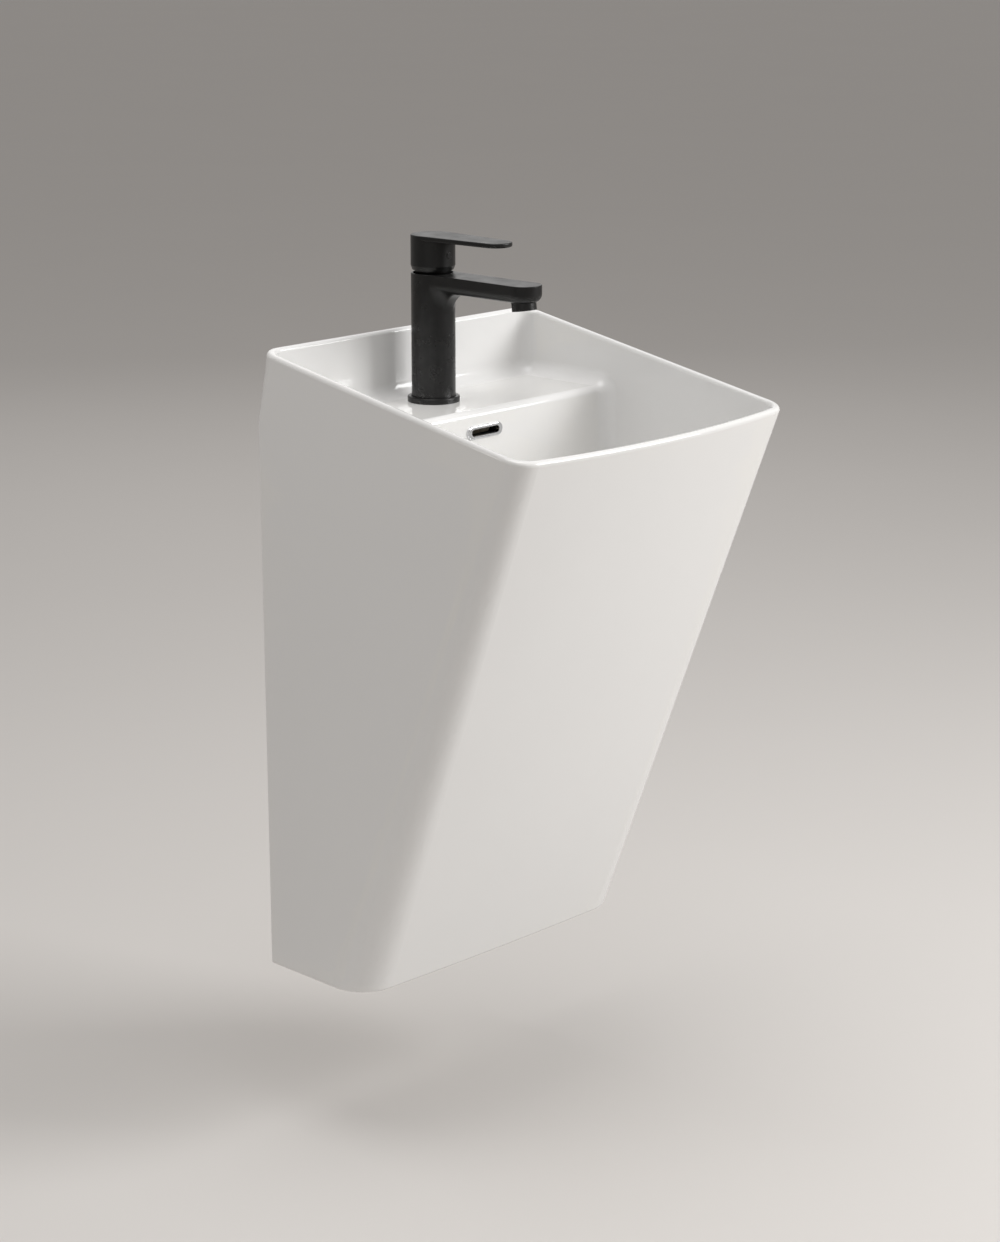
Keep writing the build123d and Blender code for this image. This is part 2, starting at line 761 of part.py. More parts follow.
def lever_handle():
    """Hub and blade in one piece, hollow round the collar."""
    blade = Pos(0, 0, handle_top - blade_thickness) * extrude(blade_outline(), blade_thickness)
    blade = fillet(blade.edges().group_by(Axis.Z)[0], blade_under_round)
    hub = disc(hub_radius, handle_top - hub_bottom, 0, 0, hub_bottom)
    foot = hub.edges().group_by(Axis.Z)[0]
    hub = chamfer(foot, hub_chamfer, hub_chamfer_inset, reference=hub.faces().filter_by(GeomType.CYLINDER)[0])
    solid = hub + blade
    top = [e for e in solid.edges() if e.center().Z > handle_top - 0.01]
    solid = fillet(top, blade_top_round)
    solid -= disc(hub_bore_radius, roof_height - hub_bottom + 1, 0, 0, hub_bottom - 1)
    boss = disc(boss_radius, roof_height - boss_bottom + 1, 0, 0, boss_bottom)
    solid += boss
    solid -= block(stem_side, stem_side, roof_height - 1 - boss_bottom + 1, 0, 0, boss_bottom - 1)
    solid -= rod(grub_radius, hub_radius, 0, -stem_side / 2 + 0.1, grub_height)
    solid -= rod(index_radius, hub_radius, 0, -hub_bore_radius - 0.6, grub_height)
    return on_tap(solid)


def handle_grub_screw():
    length = boss_radius - stem_side / 2
    solid = rod(grub_radius, length, 0, -stem_side / 2, grub_height)
    socket = Plane(origin=(0, -boss_radius, grub_height), z_dir=(0, 1, 0)) * RegularPolygon(1, 6)
    return on_tap(solid - extrude(socket, length / 2))


def handle_index_plug():
    """The small round button that covers the way to the grub screw."""
    start = -hub_bore_radius - 0.6
    length = hub_radius - hub_bore_radius - 0.2
    solid = rod(index_radius, length, 0, start, grub_height)
    return on_tap(fillet(solid.edges().group_by(Axis.Y)[0], 0.8))


def aerator_tube(outer, inner, low, high):
    """A tube on the outlet's own axis; heights are above the spout's underside."""
    shape = Cylinder(outer, high - low, align=(MID, MID, LOW))
    shape -= Cylinder(inner, 3 * (high - low))
    return on_tap(outlet_frame() * Pos(0, 0, low) * shape)


def aerator_housing():
    return aerator_tube(aerator_radius, aerator_radius - aerator_wall, -aerator_show, aerator_seat - aerator_seal)


def aerator_insert():
    """The round grid that mixes air into the water."""
    solid = Cylinder(aerator_radius - aerator_wall, grid_thickness, align=(MID, MID, LOW))
    holes = [Circle(grid_hole_radius)]
    for number in (1, 2, 3):
        spots = PolarLocations(number * grid_pitch, 6 * number)
        holes += [loc * Circle(grid_hole_radius) for loc in spots]
    solid -= extrude(Sketch() + holes, grid_thickness)
    return on_tap(outlet_frame() * Pos(0, 0, grid_inset - aerator_show) * solid)


def aerator_washer():
    return aerator_tube(aerator_radius, waterway_radius + 2, aerator_seat - aerator_seal, aerator_seat)


def tap_stud():
    low = -wall - clamp_rubber - clamp_plate - stud_nut_height - stud_tail
    return on_tap(disc(stud_radius, tail_entry - low, 0, -stud_front, low))


def horseshoe(thickness, z):
    """A disc that clears the two supply tails and holds the stud."""
    solid = disc(clamp_radius, thickness, 0, 0, z)
    mouth = 2 * (inlet_offset + tail_radius) + 2
    depth = 2 * clamp_radius
    mouth_start = inlet_back - tail_radius - 3
    solid -= block(mouth, depth, 3 * thickness, 0, mouth_start + depth / 2, z - thickness)
    return on_tap(solid - disc(stud_radius, 3 * thickness, 0, -stud_front, z - thickness))


def horseshoe_rubber():
    return horseshoe(clamp_rubber, -wall - clamp_rubber)


def horseshoe_plate():
    return horseshoe(clamp_plate, -wall - clamp_rubber - clamp_plate)


def stud_nut():
    top = -wall - clamp_rubber - clamp_plate
    nut = hexagon(stud_nut_flats, stud_nut_height, 0, -stud_front, top - stud_nut_height)
    return on_tap(nut - disc(stud_radius, 3 * stud_nut_height, 0, -stud_front, top - 2 * stud_nut_height))


# Supply, once for each side: -1 is hot, 1 is cold

def supply_tail(side):
    """A rigid copper tail from the tap down to the angle valve."""
    x_top = side * inlet_offset
    x_low = side * valve_spacing / 2
    y_top = y_tap + inlet_back
    y_low = -valve_outlet_distance
    z_end = z_valve + valve_outlet_height - tail_socket
    z_bend = z_deck - wall - 30
    z_straight = z_bend - valve_spacing / 2
    points = ((x_top, y_top, z_deck + tail_entry), (x_top, y_top, z_bend),
              (x_low, y_low, z_straight), (x_low, y_low, z_end))
    path = FilletPolyline(*points, radius=6 * tail_radius)
    start = Plane(origin=points[0], z_dir=(0, 0, -1))
    outer = sweep(start * Circle(tail_radius), path)
    return outer - sweep(start * Circle(tail_bore_radius), path)


def valve_body(side):
    x = side * valve_spacing / 2
    y_seat = -valve_thread
    solid = rod(valve_thread_radius, valve_thread + 1, x, 0, z_valve)
    solid += rod(valve_radius, valve_length, x, y_seat, z_valve)
    y_outlet = -valve_outlet_distance
    solid += disc(valve_outlet_radius, valve_outlet_height, x, y_outlet, z_valve)
    solid -= rod(valve_thread_radius - 3, valve_thread + 4, x, 1, z_valve)
    solid -= rod(waterway_radius, valve_outlet_distance, x, -valve_thread, z_valve)
    solid -= disc(waterway_radius, valve_outlet_height + 1, x, y_outlet, z_valve)
    solid -= disc(tail_radius, tail_socket, x, y_outlet, z_valve + valve_outlet_height - tail_socket)
    spindle_hole = valve_spindle_radius + running
    return solid - rod(spindle_hole, valve_length, x, y_seat - valve_length / 2 - 6, z_valve)


def valve_olive(side):
    """The soft brass ring that the compression nut squeezes on the tail."""
    x = side * valve_spacing / 2
    z = z_valve + valve_outlet_height
    solid = ring(valve_outlet_radius - 1, tail_radius, olive_height, x, -valve_outlet_distance, z)
    outer_rims = solid.edges().sort_by(SortBy.LENGTH)[-2:]
    return chamfer(outer_rims, olive_slope)


def valve_nut(side):
    x = side * valve_spacing / 2
    z = z_valve + valve_outlet_height - tail_socket
    y = -valve_outlet_distance
    solid = hexagon(valve_nut_flats, valve_nut_height, x, y, z)
    solid -= disc(valve_outlet_radius, valve_nut_height - nut_cap, x, y, z)
    return solid - disc(tail_radius, 2 * valve_nut_height, x, y, z)


def valve_packing_nuts():
    nuts = []
    for side in (-1, 1):
        x = side * valve_spacing / 2
        y = y_valve_front
        nut = Pos(x, y, z_valve) * Rot(90, 0, 0) * hexagon(packing_flats, packing_length, 0, 0, 0)
        nuts.append(nut - rod(valve_spindle_radius + running, 3 * packing_length, x, y + 1, z_valve))
    return Compound(children=nuts)


def valve_spindle(side):
    x = side * valve_spacing / 2
    start = -valve_thread - valve_length / 2 - 7
    end = y_valve_front - packing_length - knob_gap - knob_length + 4
    return rod(valve_spindle_radius, start - end, x, start, z_valve)


def valve_knob(side):
    """A round knob with finger scallops."""
    x = side * valve_spacing / 2
    outline = Circle(knob_radius)
    scallops = [loc * Circle(knob_radius / 4) for loc in PolarLocations(1.12 * knob_radius, 8)]
    solid = extrude(outline - scallops, knob_length)
    rims = solid.edges().group_by(Axis.Z)
    solid = fillet(rims[-1], 1.2)
    solid -= Cylinder(valve_spindle_radius, knob_length - 4, align=(MID, MID, LOW))
    y = y_valve_front - packing_length - knob_gap
    return Pos(x, y, z_valve) * Rot(90, 0, 0) * solid


nodes = {
    "basin_body": basin_body,
    "overflow_ring": overflow_ring,
    "wall_fixing_bushes": wall_fixing_bushes,
    "waste_body": waste_body,
    "waste_flange_seal": waste_flange_seal,
    "waste_under_seal": waste_under_seal,
    "waste_backnut": waste_backnut,
    "plug_housing": plug_housing,
    "plug_stem": plug_stem,
    "plug_cap": plug_cap,
    "plug_seal": plug_seal,
    "trap_inlet_washer": trap_inlet_washer,
    "trap_inlet_nut": trap_inlet_nut,
    "trap_tailpipe": trap_tailpipe,
    "trap_neck_nut": trap_neck_nut,
    "trap_neck_washer": trap_neck_washer,
    "trap_body": trap_body,
    "trap_cup_seal": trap_cup_seal,
    "trap_cup": trap_cup,
    "trap_outlet_nut": trap_outlet_nut,
    "trap_outlet_washer": trap_outlet_washer,
    "outlet_pipe": outlet_pipe,
    "tap_body": tap_body,
    "tap_base_ring": tap_base_ring,
    "tap_base_seal": tap_base_seal,
    "tap_collar": tap_collar,
    "cartridge_body": cartridge_body,
    "cartridge_nut": cartridge_nut,
    "cartridge_spindle": cartridge_spindle,
    "spindle_pin": spindle_pin,
    "lever_stem": lever_stem,
    "lever_handle": lever_handle,
    "handle_grub_screw": handle_grub_screw,
    "handle_index_plug": handle_index_plug,
    "aerator_housing": aerator_housing,
    "aerator_insert": aerator_insert,
    "aerator_washer": aerator_washer,
    "tap_stud": tap_stud,
    "horseshoe_rubber": horseshoe_rubber,
    "horseshoe_plate": horseshoe_plate,
    "stud_nut": stud_nut,
    "valve_packing_nuts": valve_packing_nuts,
}
sided = {
    "supply_tail": supply_tail,
    "valve_body": valve_body,
    "valve_olive": valve_olive,
    "valve_nut": valve_nut,
    "valve_spindle": valve_spindle,
    "valve_knob": valve_knob,
}

os.makedirs("parts", exist_ok=True)
for name, make in nodes.items():
    export_step(make(), f"parts/{name}.step")
for name, make in sided.items():
    for word, side in (("hot", -1), ("cold", 1)):
        export_step(make(side), f"parts/{word}_{name}.step")
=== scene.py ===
import json
from math import cos, pi, radians, sin

import bmesh
import bpy
from bpy.props import FloatProperty, FloatVectorProperty, PointerProperty
from mathutils import Matrix, Vector


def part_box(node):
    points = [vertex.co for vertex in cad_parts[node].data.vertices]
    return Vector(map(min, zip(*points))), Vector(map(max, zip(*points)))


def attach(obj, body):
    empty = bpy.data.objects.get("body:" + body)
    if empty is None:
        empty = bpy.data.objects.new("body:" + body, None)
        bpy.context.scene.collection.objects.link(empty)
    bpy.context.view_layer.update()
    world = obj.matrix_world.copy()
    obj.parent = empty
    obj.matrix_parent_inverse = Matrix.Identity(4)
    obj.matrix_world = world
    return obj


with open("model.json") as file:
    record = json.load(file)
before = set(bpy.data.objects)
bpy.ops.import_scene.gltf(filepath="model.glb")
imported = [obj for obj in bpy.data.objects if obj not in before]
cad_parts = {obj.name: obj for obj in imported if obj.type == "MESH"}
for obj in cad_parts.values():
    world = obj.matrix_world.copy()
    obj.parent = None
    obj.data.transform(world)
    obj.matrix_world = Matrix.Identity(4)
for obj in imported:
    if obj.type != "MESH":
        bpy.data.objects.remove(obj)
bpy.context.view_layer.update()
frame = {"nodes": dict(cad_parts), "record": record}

bl_info = {
    "name": "Wall-hung washbasin",
    "version": (1, 0, 0),
    "blender": (4, 5, 0),
    "location": "3D View > Sidebar > Washbasin",
    "description": "Finishes and details a ceramic washbasin with its tap, waste and supplies",
    "category": "Object",
}

MM = 0.001

# The basin's own sizes, which the frame's boxes don't give
BOTTOM_DEPTH = 143 * MM
RIM_DROP = 68 * MM
BOWL_DEPTH = 182 * MM
DECK_DEPTH = 74 * MM
DECK_FRONT = 127 * MM

# How far each thread's crest stands out from its cylinder
STUD_CREST = 0.35 * MM
PIPE_CREST = 0.5 * MM
WASTE_CREST = 0.6 * MM

# Lengths of ridge that one turn of a thread is made of
STEPS_PER_TURN = 40

# Half the floor's width, so that its far edge lies near the horizon
FLOOR_HALF = 40.0

AIR_COLOUR = (1.0, 0.972, 0.95, 1)
DUST_COLOUR = (0.45, 0.43, 0.40, 1)
DUST_ON_BLACK = (0.30, 0.29, 0.28, 1)
# Near-black painted shade for the inside of the overflow's sleeve
SLEEVE_PAINTED_SHADE = (0.02, 0.02, 0.02, 1)

# Each soft light: its name, the width of its square and where it hangs
LIGHTS = (
    ("key", 1.6, (1.8, -2.5, 1.3)),
    ("fill", 2.2, (-2.6, -1.2, 0.9)),
    ("top", 2.0, (-0.5, -0.3, 2.5)),
    ("back", 2.4, (2.4, 2.7, 1.7)),
)

# A Mix node's colour sockets, whose names its other sockets share
MIX_FIRST = 6
MIX_SECOND = 7
MIX_RESULT = 2


# Settings


def colour(name, text, value):
    """A colour that a user can set."""
    return FloatVectorProperty(
        name=name, description=text, default=value, size=4, min=0.0, max=1.0, subtype="COLOR"
    )


def length(name, text, value):
    """A length in metres that a user can set."""
    return FloatProperty(name=name, description=text, default=value, unit="LENGTH")


def amount(name, text, value):
    """A plain amount, 0 or more, that a user can set."""
    return FloatProperty(name=name, description=text, default=value, min=0.0, subtype="FACTOR")


def angle(name, text, degrees):
    """An angle that a user can set."""
    return FloatProperty(name=name, description=text, default=radians(degrees), subtype="ANGLE")


def power(name, text, watts):
    """A light's power that a user can set."""
    return FloatProperty(name=name, description=text, default=watts, min=0.0, unit="POWER")


class WashbasinColours(bpy.types.PropertyGroup):
    glaze: colour("Glaze", "White of the glazed ceramic", (0.78, 0.775, 0.765, 1))
    glaze_thin: colour("Thin glaze", "Where the glaze runs thin on an edge", (0.80, 0.79, 0.765, 1))
    clay: colour("Bare clay", "Unglazed ceramic at the back and inside", (0.62, 0.56, 0.48, 1))
    coat: colour("Black coat", "The tap's powder coat", (0.0042, 0.0041, 0.0040, 1))
    coat_worn: colour("Rubbed coat", "The powder coat on its edges", (0.014, 0.014, 0.014, 1))
    chrome: colour("Chrome", "Plated parts", (0.83, 0.84, 0.86, 1))
    brass: colour("Brass", "Turned brass", (0.71, 0.53, 0.27, 1))
    brass_dull: colour("Dull brass", "Brass that has darkened", (0.42, 0.29, 0.14, 1))
    copper: colour("Copper", "Drawn copper tube", (0.80, 0.42, 0.28, 1))
    copper_dull: colour("Dull copper", "Copper that has darkened", (0.40, 0.20, 0.13, 1))
    steel: colour("Steel", "Zinc-plated steel", (0.60, 0.61, 0.62, 1))
    rubber: colour("Rubber", "Seals and washers", (0.018, 0.018, 0.019, 1))
    plastic: colour("Grey plastic", "The tap's cartridge and the aerator's grid", (0.24, 0.25, 0.26, 1))
    nylon: colour("Nylon", "White bushes", (0.70, 0.69, 0.66, 1))
    floor: colour("Floor", "The studio floor", (0.66, 0.635, 0.61, 1))


class WashbasinFinish(bpy.types.PropertyGroup):
    glaze_gloss: amount("Glaze roughness", "Roughness of clean glaze", 0.07)
    coat_gloss: amount("Coat roughness", "Roughness of the powder coat", 0.33)
    chrome_gloss: amount("Chrome roughness", "Roughness of clean chrome", 0.05)
    peel: length("Orange peel", "Height of the powder coat's ripple", 0.00002)
    wave: length("Glaze wave", "Height of the glaze's slow waves", 0.00025)


class WashbasinThreads(bpy.types.PropertyGroup):
    stud_pitch: length("Stud pitch", "Pitch of the tap's stud", 1.25 * MM)
    pipe_pitch: length("Pipe pitch", "Pitch of the valves' inlet threads", 1.814 * MM)
    waste_pitch: length("Waste pitch", "Pitch of the waste's thread", 2.309 * MM)


class WashbasinStage(bpy.types.PropertyGroup):
    azimuth: angle("Azimuth", "How far round to the left the camera stands", 46.97)
    elevation: angle("Elevation", "The camera's downward tilt", 14.83)
    distance: length("Distance", "Camera to the point it looks at", 3.226)
    aim_side: length("Aim side", "How far left of the wall bolts' middle the camera looks", 0.0025)
    aim_depth: length("Aim depth", "How far from the wall the camera looks", 0.153)
    aim_drop: length("Aim drop", "How far below the wall bolts the camera looks", 0.1593)
    lens: FloatProperty(
        name="Lens", description="Focal length in millimetres", default=87.87, unit="CAMERA"
    )
    floor_drop: length("Floor drop", "Floor below the wall bolts", 0.717)
    key_power: power("Key light", "Power of the main soft light, at the front right", 76.0)
    fill_power: power("Fill light", "Power of the light at the left", 3.0)
    top_power: power("Top light", "Power of the overhead light", 36.0)
    back_power: power("Back light", "Power of the light behind", 11.0)
    air: amount("Surroundings", "Brightness of the surroundings", 0.385)


def settings():
    """The colours, finishes, threads and stage as they are set now."""
    scene = bpy.context.scene
    return scene.basin_colours, scene.basin_finish, scene.basin_threads, scene.basin_stage


def box_of(node):
    """A CAD node's lowest and highest corners at rest, as vectors."""
    low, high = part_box(node)
    return Vector(low), Vector(high)


# Shader node groups for the effects that several materials share


def new_group(name, inputs, output):
    """An empty group with float inputs, given as (name, default), and one float output."""
    group = bpy.data.node_groups.new(name, "ShaderNodeTree")
    for title, value in inputs:
        socket = group.interface.new_socket(name=title, in_out="INPUT", socket_type="NodeSocketFloat")
        socket.default_value = value
    group.interface.new_socket(name=output, in_out="OUTPUT", socket_type="NodeSocketFloat")
    return group, group.nodes.new("NodeGroupInput"), group.nodes.new("NodeGroupOutput")


def feed(tree, socket, value):
    """Links a socket to another, or sets it to a plain number or colour."""
    if isinstance(value, bpy.types.NodeSocket):
        tree.links.new(value, socket)
    else:
        socket.default_value = value


def math_node(tree, operation, *values):
    """A Math node on sockets or plain numbers; returns its output."""
    node = tree.nodes.new("ShaderNodeMath")
    node.operation = operation
    for socket, value in zip(node.inputs, values):
        feed(tree, socket, value)
    return node.outputs[0]


def span(tree, value, low, high, to_low=0.0, to_high=1.0):
    """A clamped Map Range; the limits may be sockets or numbers."""
    node = tree.nodes.new("ShaderNodeMapRange")
    for socket, given in zip(node.inputs, (value, low, high, to_low, to_high)):
        feed(tree, socket, given)
    return node.outputs[0]


def parts_of(tree, vector):
    """The X, Y and Z sockets of a vector."""
    node = tree.nodes.new("ShaderNodeSeparateXYZ")
    tree.links.new(vector, node.inputs[0])
    return node.outputs


def place_of(tree):
    """Where a point is, in the frame's metres."""
    return tree.nodes.new("ShaderNodeTexCoord").outputs["Object"]


def facing_of(tree):
    """Which way the surface faces."""
    return tree.nodes.new("ShaderNodeNewGeometry").outputs["Normal"]


def noise(tree, scale, detail, rough):
    """Noise whose patches are about 1/scale metres across."""
    node = tree.nodes.new("ShaderNodeTexNoise")
    node.inputs["Detail"].default_value = detail
    node.inputs["Roughness"].default_value = rough
    tree.links.new(place_of(tree), node.inputs["Vector"])
    feed(tree, node.inputs["Scale"], scale)
    return node.outputs[0]


def mottle_group():
    """A value that drifts between Low and High, with patches of 1/Scale."""
    group, start, end = new_group("Mottle", (("Scale", 20.0), ("Low", 0.0), ("High", 1.0)), "Value")
    value = noise(group, start.outputs["Scale"], 4.0, 0.55)
    value = span(group, value, 0.32, 0.68, start.outputs["Low"], start.outputs["High"])
    group.links.new(value, end.inputs["Value"])
    return group


def ripple_group():
    """A fine and a coarse ripple together, as a height of 0 to 1."""
    group, start, end = new_group("Ripple", (("Fine", 900.0), ("Coarse", 90.0), ("Share", 0.7)), "Height")
    fine = noise(group, start.outputs["Fine"], 1.0, 0.4)
    coarse = noise(group, start.outputs["Coarse"], 2.0, 0.4)
    rest = math_node(group, "SUBTRACT", 1.0, start.outputs["Share"])
    fine = math_node(group, "MULTIPLY", fine, start.outputs["Share"])
    coarse = math_node(group, "MULTIPLY", coarse, rest)
    group.links.new(math_node(group, "ADD", fine, coarse), end.inputs["Height"])
    return group


def edge_group():
    """1 on outer edges and 0 on flats, broken up by noise."""
    group, start, end = new_group("Edge rub", (("Reach", 0.06), ("Break up", 60.0)), "Mask")
    shape = group.nodes.new("ShaderNodeNewGeometry").outputs["Pointiness"]
    high = math_node(group, "ADD", 0.5, start.outputs["Reach"])
    mask = span(group, shape, 0.505, high)
    broken = span(group, noise(group, start.outputs["Break up"], 3.0, 0.6), 0.35, 0.65, 0.35, 1.0)
    group.links.new(math_node(group, "MULTIPLY", mask, broken), end.inputs["Mask"])
    return group


def dust_group():
    """Thin settled dust: 1 on what faces up, patchy, and 0 below."""
    group, start, end = new_group("Settled dust", (("Amount", 0.3), ("Scale", 35.0)), "Mask")
    up = span(group, parts_of(group, facing_of(group))["Z"], 0.2, 0.95)
    patch = span(group, noise(group, start.outputs["Scale"], 5.0, 0.65), 0.35, 0.7)
    mask = math_node(group, "MULTIPLY", up, patch)
    group.links.new(math_node(group, "MULTIPLY", mask, start.outputs["Amount"]), end.inputs["Mask"])
    return group


def drops_group():
    """Dried water marks: faint rings of 1/Scale, few and far between."""
    group, start, end = new_group("Dried drops", (("Scale", 140.0), ("Amount", 0.5)), "Mask")
    cells = group.nodes.new("ShaderNodeTexVoronoi")
    group.links.new(place_of(group), cells.inputs["Vector"])
    group.links.new(start.outputs["Scale"], cells.inputs["Scale"])
    outer = span(group, cells.outputs["Distance"], 0.30, 0.20)
    inner = span(group, cells.outputs["Distance"], 0.12, 0.20)
    mark = math_node(group, "MULTIPLY", outer, inner)
    rare = span(group, noise(group, 9.0, 2.0, 0.5), 0.52, 0.60)
    mark = math_node(group, "MULTIPLY", mark, rare)
    group.links.new(math_node(group, "MULTIPLY", mark, start.outputs["Amount"]), end.inputs["Mask"])
    return group


def turned_group():
    """Fine tool marks across the axis that the three Along values give, as a height of 0 to 1."""
    inputs = (("Lines", 2200.0), ("Along X", 0.0), ("Along Y", 0.0), ("Along Z", 1.0))
    group, start, end = new_group("Tool marks", inputs, "Height")
    axis = group.nodes.new("ShaderNodeCombineXYZ")
    for index, title in enumerate(("Along X", "Along Y", "Along Z")):
        group.links.new(start.outputs[title], axis.inputs[index])
    dot = group.nodes.new("ShaderNodeVectorMath")
    dot.operation = "DOT_PRODUCT"
    group.links.new(place_of(group), dot.inputs[0])
    group.links.new(axis.outputs[0], dot.inputs[1])
    line = group.nodes.new("ShaderNodeTexNoise")
    line.noise_dimensions = "1D"
    line.inputs["Detail"].default_value = 3.0
    group.links.new(dot.outputs["Value"], line.inputs["W"])
    group.links.new(start.outputs["Lines"], line.inputs["Scale"])
    group.links.new(line.outputs[0], end.inputs["Height"])
    return group


EFFECTS = {
    "Mottle": mottle_group,
    "Ripple": ripple_group,
    "Edge rub": edge_group,
    "Settled dust": dust_group,
    "Dried drops": drops_group,
    "Tool marks": turned_group,
}


def effect(tree, name, **values):
    """Puts a shared group into a material with its own values; returns its output."""
    node = tree.nodes.new("ShaderNodeGroup")
    node.node_tree = bpy.data.node_groups.get(name) or EFFECTS[name]()
    for title, value in values.items():
        node.inputs[title.replace("_", " ")].default_value = value
    return node.outputs[0]


# Materials


def start_material(name):
    """A new material, its node tree and its shader."""
    material = bpy.data.materials.new(name)
    material.use_nodes = True
    tree = material.node_tree
    return material, tree, tree.nodes["Principled BSDF"]


def blend_colours(tree, mask, first, second):
    """first where the mask is 0 and second where it is 1; either may be a socket or a colour."""
    node = tree.nodes.new("ShaderNodeMix")
    node.data_type = "RGBA"
    tree.links.new(mask, node.inputs[0])
    feed(tree, node.inputs[MIX_FIRST], first)
    feed(tree, node.inputs[MIX_SECOND], second)
    return node.outputs[MIX_RESULT]


def tinted(base, factor, lift=0.0):
    """A colour made lighter or darker by a factor, with a little grey added."""
    return tuple(min(1.0, factor * channel + lift) for channel in base[:3]) + (1,)


def bump(tree, shader, height, distance, under=None):
    """Bumps the shader's surface, over the normal of another bump if given; returns its normal."""
    node = tree.nodes.new("ShaderNodeBump")
    node.inputs["Distance"].default_value = distance
    tree.links.new(height, node.inputs["Height"])
    if under is not None:
        tree.links.new(under, node.inputs["Normal"])
    tree.links.new(node.outputs[0], shader.inputs["Normal"])
    return node.outputs[0]


def bare_clay_mask(tree):
    """1 on the basin's unglazed back and hollow, 0 on what is glazed."""
    low, high = box_of("basin_body")
    x, y, z = parts_of(tree, place_of(tree))
    to_x, to_y = parts_of(tree, facing_of(tree))[:2]
    # A margin that keeps each limit inside the ceramic's own thickness
    skin = 6 * MM
    slope = (low.y + BOTTOM_DEPTH) / (high.z - RIM_DROP - low.z)
    front = math_node(tree, "MULTIPLY", math_node(tree, "SUBTRACT", z, low.z), slope)
    from_front = math_node(tree, "SUBTRACT", y, front)
    behind = math_node(tree, "GREATER_THAN", from_front, 8 * skin - BOTTOM_DEPTH)
    beside = math_node(tree, "LESS_THAN", math_node(tree, "ABSOLUTE", x), high.x - 1.5 * skin)
    deep = math_node(tree, "MULTIPLY", behind, beside)
    to_side = math_node(tree, "MULTIPLY", to_x, math_node(tree, "SIGN", x))
    inward = math_node(tree, "MAXIMUM", to_y, math_node(tree, "MULTIPLY", to_side, -1.0))
    inward = math_node(tree, "GREATER_THAN", inward, 0.3)
    below_bowl = math_node(tree, "LESS_THAN", z, high.z - BOWL_DEPTH - skin)
    below_deck = math_node(tree, "LESS_THAN", z, high.z - DECK_DEPTH - skin)
    behind_bowl = math_node(tree, "GREATER_THAN", y, skin - DECK_FRONT)
    hollow = math_node(tree, "MAXIMUM", below_bowl, math_node(tree, "MULTIPLY", below_deck, behind_bowl))
    hollow = math_node(tree, "MULTIPLY", hollow, math_node(tree, "MAXIMUM", deep, inward))
    on_wall = math_node(tree, "ADD", y, math_node(tree, "MULTIPLY", to_y, skin))
    return math_node(tree, "MAXIMUM", hollow, math_node(tree, "GREATER_THAN", on_wall, 0.8 * skin))


def glaze_material():
    """White sanitary glaze on the outside, bare fired clay on the back and in the hollow."""
    colours, finish = settings()[:2]
    material, tree, shader = start_material("Glazed ceramic")
    clay = bare_clay_mask(tree)
    thin = effect(tree, "Edge rub", Reach=0.05, Break_up=18.0)
    white = blend_colours(tree, thin, tuple(colours.glaze), tuple(colours.glaze_thin))
    cloud = effect(tree, "Mottle", Scale=7.0, Low=0.0, High=0.35)
    white = blend_colours(tree, cloud, white, tinted(colours.glaze, 0.975))
    stain = effect(tree, "Mottle", Scale=26.0, Low=0.0, High=1.0)
    earth = blend_colours(tree, stain, tuple(colours.clay), tinted(colours.clay, 1.18))
    tree.links.new(blend_colours(tree, clay, white, earth), shader.inputs["Base Color"])
    low, high = finish.glaze_gloss, 1.5 * finish.glaze_gloss
    smooth = effect(tree, "Mottle", Scale=14.0, Low=low, High=high)
    rough = math_node(tree, "MULTIPLY_ADD", clay, 0.78, smooth)
    marks = effect(tree, "Dried drops", Scale=160.0, Amount=0.06)
    tree.links.new(math_node(tree, "ADD", rough, marks), shader.inputs["Roughness"])
    waves = effect(tree, "Ripple", Fine=38.0, Coarse=9.0, Share=0.12)
    under = bump(tree, shader, waves, finish.wave)
    grit = math_node(tree, "MULTIPLY", noise(tree, 1400.0, 3.0, 0.7), clay)
    bump(tree, shader, grit, 0.0003, under)
    shader.inputs["IOR"].default_value = 1.52
    return material


def coat_material():
    """Satin black powder coat with a fine orange peel, rubbed a little lighter on its edges."""
    colours, finish = settings()[:2]
    material, tree, shader = start_material("Black powder coat")
    rubbed = effect(tree, "Edge rub", Reach=0.09, Break_up=120.0)
    dust = effect(tree, "Settled dust", Amount=0.05, Scale=45.0)
    body = blend_colours(tree, rubbed, tuple(colours.coat), tuple(colours.coat_worn))
    body = blend_colours(tree, dust, body, DUST_ON_BLACK)
    tree.links.new(body, shader.inputs["Base Color"])
    low, high = finish.coat_gloss - 0.03, finish.coat_gloss + 0.05
    rough = effect(tree, "Mottle", Scale=55.0, Low=low, High=high)
    rough = math_node(tree, "SUBTRACT", rough, math_node(tree, "MULTIPLY", rubbed, 0.08))
    tree.links.new(rough, shader.inputs["Roughness"])
    peel = effect(tree, "Ripple", Fine=2400.0, Coarse=500.0, Share=0.6)
    bump(tree, shader, peel, finish.peel)
    shader.inputs["IOR"].default_value = 1.42
    return material


